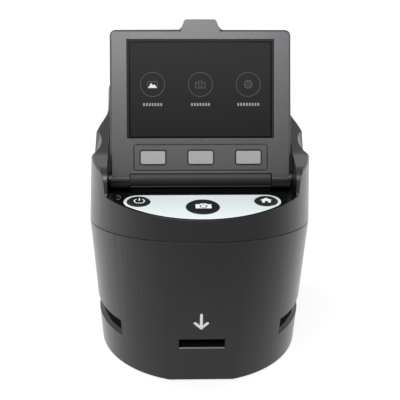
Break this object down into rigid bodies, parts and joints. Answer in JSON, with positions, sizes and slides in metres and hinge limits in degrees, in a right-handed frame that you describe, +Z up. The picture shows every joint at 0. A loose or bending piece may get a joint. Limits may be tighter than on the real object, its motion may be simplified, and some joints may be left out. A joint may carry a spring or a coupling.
{
  "type": "film negative scanner",
  "caption": "Desktop film negative scanner: round pod with a display that tilts up out of a cradle, a button deck in front and a tray tunnel low in the body.",
  "frame": {"origin": "middle of the footprint, on the table under the rubber feet", "axes": "+Z up, -Y toward the user and the control deck, +X to the user's right"},
  "size_m": [0.118, 0.1316, 0.1764],
  "materials": {
    "housing": "fine satin texture",
    "deck_black": "gloss",
    "fascia_white": "satin gloss",
    "button_black": "satin gloss",
    "key_silver": "satin paint",
    "light_pipe": "clear",
    "screen": "clear",
    "lcd": "gloss",
    "steel": "brushed",
    "rubber": "matte",
    "inner_grey": "matte",
    "inner_black": "matte",
    "inner_white": "matte",
    "circuit_board": "satin",
    "lens_glass": "polished",
    "flat_cable": "satin"
  },
  "bodies": {
    "housing": {"lower_housing": "housing", "upper_housing": "housing", "base_plate": "housing", "rubber_feet": "rubber", "base_screws": "steel", "deck_panel": "deck_black", "control_fascia": "fascia_white", "status_light": "light_pipe", "button_board": "circuit_board", "button_switches": "inner_black", "button_board_screws": "steel", "hinge_knuckle": "housing", "hinge_pin_left": "steel", "hinge_pin_right": "steel", "friction_washers": "steel", "rest_pads": "rubber", "tray_guide": "inner_grey", "guide_cover": "inner_grey", "backlight_box": "inner_white", "led_board": "circuit_board", "diffuser": "inner_white", "camera_bracket": "inner_black", "lens_barrel": "inner_black", "lens_elements": "lens_glass", "sensor_board": "circuit_board", "sensor_screws": "steel", "main_board": "circuit_board", "usb_socket": "steel", "video_socket": "steel", "card_socket": "steel", "display_ribbon": "flat_cable"},
    "display": {"display_bezel": "housing", "display_back_cover": "housing", "display_screws": "steel", "lcd_module": "lcd", "screen_lens": "screen", "key_board": "circuit_board", "key_switches": "inner_black"},
    "soft_key_left": {"soft_key_left": "key_silver"},
    "soft_key_middle": {"soft_key_middle": "key_silver"},
    "soft_key_right": {"soft_key_right": "key_silver"},
    "power_button": {"power_button": "button_black"},
    "capture_button": {"capture_button": "button_black"},
    "home_button": {"home_button": "button_black"}
  },
  "joints": [
    {"name": "display_tilt", "type": "hinge", "parent": "housing", "child": "display", "pos_m": [0, -0.01325, 0.0982], "axis": [1, 0, 0], "range_deg": [-49, 5]},
    {"name": "soft_key_left_press", "type": "slide", "parent": "display", "child": "soft_key_left", "axis": [0, 0.915, -0.4035], "range_m": [0, 0.0005], "stiffness_N_per_m": 1500},
    {"name": "soft_key_middle_press", "type": "slide", "parent": "display", "child": "soft_key_middle", "axis": [0, 0.915, -0.4035], "range_m": [0, 0.0005], "stiffness_N_per_m": 1500},
    {"name": "soft_key_right_press", "type": "slide", "parent": "display", "child": "soft_key_right", "axis": [0, 0.915, -0.4035], "range_m": [0, 0.0005], "stiffness_N_per_m": 1500},
    {"name": "power_button_press", "type": "slide", "parent": "housing", "child": "power_button", "axis": [0, 0, -1], "range_m": [0, 0.0008], "stiffness_N_per_m": 1500},
    {"name": "capture_button_press", "type": "slide", "parent": "housing", "child": "capture_button", "axis": [0, 0, -1], "range_m": [0, 0.0008], "stiffness_N_per_m": 1500},
    {"name": "home_button_press", "type": "slide", "parent": "housing", "child": "home_button", "axis": [0, 0, -1], "range_m": [0, 0.0008], "stiffness_N_per_m": 1500}
  ]
}
